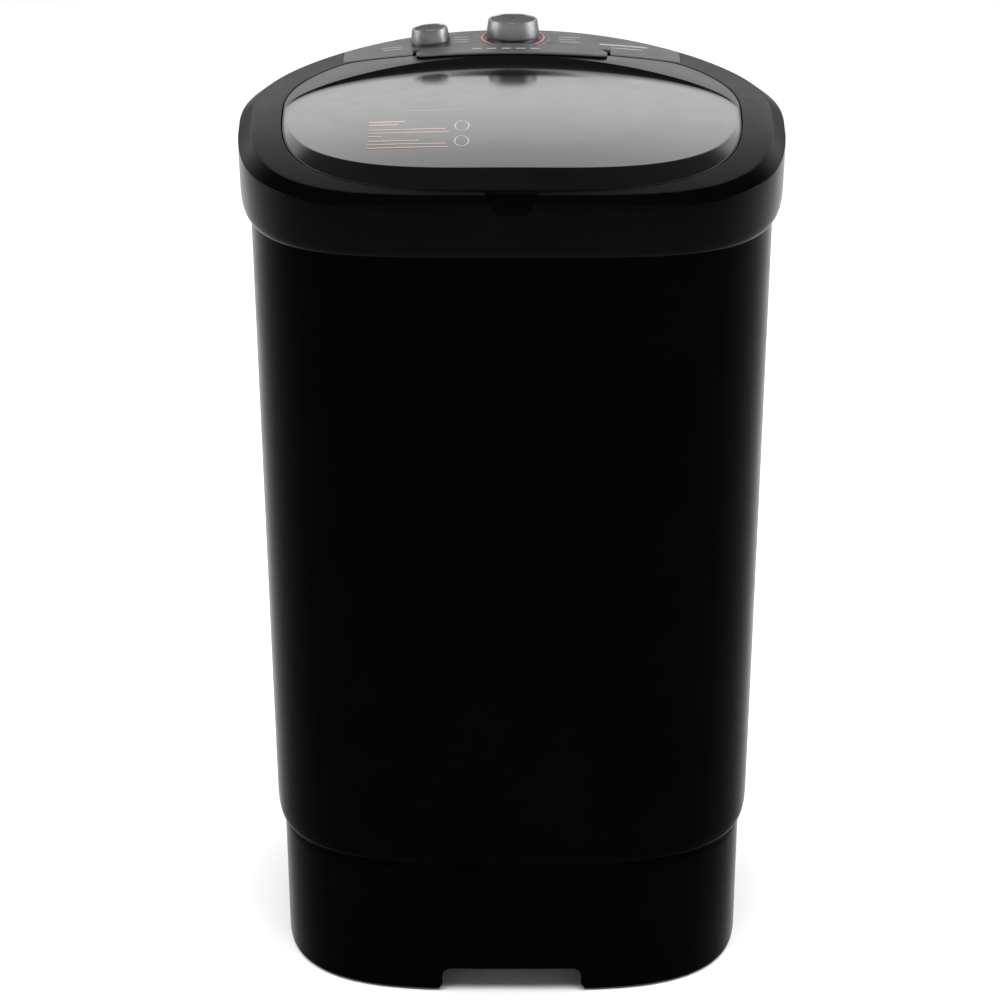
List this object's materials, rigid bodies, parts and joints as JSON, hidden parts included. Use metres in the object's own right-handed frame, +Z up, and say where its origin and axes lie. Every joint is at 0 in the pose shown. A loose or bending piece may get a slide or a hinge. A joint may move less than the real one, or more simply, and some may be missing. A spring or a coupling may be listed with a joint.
{
  "type": "semi-automatic washing machine",
  "caption": "Free-standing single-tub washing machine with a tapered black cabinet, chamfered rim, smoked hinged lid, timer and selector knobs on a rear console.",
  "frame": {"origin": "centre of the footprint on the floor, under the feet", "axes": "+Z up, +Y to the console at the rear, +X to the right seen from the front"},
  "size_m": [0.507, 0.4798, 0.845],
  "materials": {
    "body_black": "semi-gloss moulded plastic",
    "frame_grey": "satin moulded plastic",
    "console_grey": "satin metallic plastic",
    "smoked_lid": "polished smoked plastic",
    "knob_silver": "satin silver plastic",
    "steel": "zinc-plated",
    "tub_grey": "smooth polypropylene",
    "rubber": "moulded",
    "dark_plastic": "moulded",
    "white_plastic": "moulded",
    "motor_grey": "die-cast",
    "winding": "varnished winding on steel laminations",
    "bronze": "sintered bronze"
  },
  "bodies": {
    "body": {"base": "body_black", "cabinet": "body_black", "service_cover": "dark_plastic", "top_frame": "frame_grey", "console_panel": "console_grey", "hinge_pin_left": "steel", "hinge_pin_right": "steel", "wash_tub": "tub_grey", "drain_grille": "dark_plastic", "filter_guide": "white_plastic", "timer_unit": "white_plastic", "selector_switch": "white_plastic", "bearing_housing": "dark_plastic", "lower_bush": "bronze", "upper_bush": "bronze", "shaft_seal": "rubber", "drive_belt": "rubber", "motor_stator": "winding", "motor_lower_shield": "motor_grey", "motor_upper_shield": "motor_grey", "motor_plate": "steel", "capacitor": "white_plastic", "capacitor_clamp": "steel", "drain_elbow": "dark_plastic", "drain_hose": "dark_plastic", "outlet_spigot": "dark_plastic", "cord_gland": "rubber", "wiring_harness": "rubber", "foot_front_left": "rubber", "foot_front_right": "rubber", "foot_rear_left": "rubber", "foot_rear_right": "rubber", "cover_screw_1": "steel", "motor_grommet_1": "rubber", "motor_bolt_1": "steel", "cover_screw_2": "steel", "motor_grommet_2": "rubber", "motor_bolt_2": "steel", "cover_screw_3": "steel", "motor_grommet_3": "rubber", "motor_bolt_3": "steel", "cover_screw_4": "steel", "motor_grommet_4": "rubber", "motor_bolt_4": "steel"},
    "lid": {"lid": "smoked_lid", "hinge_cover": "console_grey"},
    "timer_dial": {"timer_knob": "knob_silver", "timer_shaft": "steel"},
    "selector_dial": {"selector_knob": "knob_silver", "selector_shaft": "steel"},
    "lint_filter": {"filter_frame": "white_plastic", "filter_net": "white_plastic"},
    "pulsator": {"pulsator": "white_plastic", "pulsator_shaft": "steel", "pulsator_screw": "steel", "driven_pulley": "dark_plastic"},
    "motor_spindle": {"motor_rotor": "motor_grey", "motor_shaft": "steel", "motor_pulley": "steel"}
  },
  "joints": [
    {"name": "lid_hinge", "type": "hinge", "parent": "body", "child": "lid", "pos_m": [0, 0.16, 0.817], "axis": [-1, 0, 0], "range_deg": [0, 95]},
    {"name": "timer_turn", "type": "hinge", "parent": "body", "child": "timer_dial", "pos_m": [0.001, 0.202, 0.82646], "axis": [0, 0.0698, 0.9976], "range_deg": [-330, 0]},
    {"name": "selector_turn", "type": "hinge", "parent": "body", "child": "selector_dial", "pos_m": [-0.0785, 0.192, 0.82362], "axis": [-0.0872, 0.0695, 0.9938], "range_deg": [-60, 60]},
    {"name": "filter_lift", "type": "slide", "parent": "body", "child": "lint_filter", "axis": [0, 0, 1], "range_m": [0, 0.12]},
    {"name": "pulsator_spin", "type": "hinge", "parent": "body", "child": "pulsator", "pos_m": [0, -0.028, 0.338], "axis": [0, 0, 1], "continuous": true},
    {"name": "motor_spin", "type": "hinge", "parent": "body", "child": "motor_spindle", "pos_m": [0.108, 0.072, 0.147], "axis": [0, 0, 1], "continuous": true}
  ],
  "couplings": [
    {"joint": "motor_spin", "follows": "pulsator_spin", "ratio": 4.6667}
  ]
}
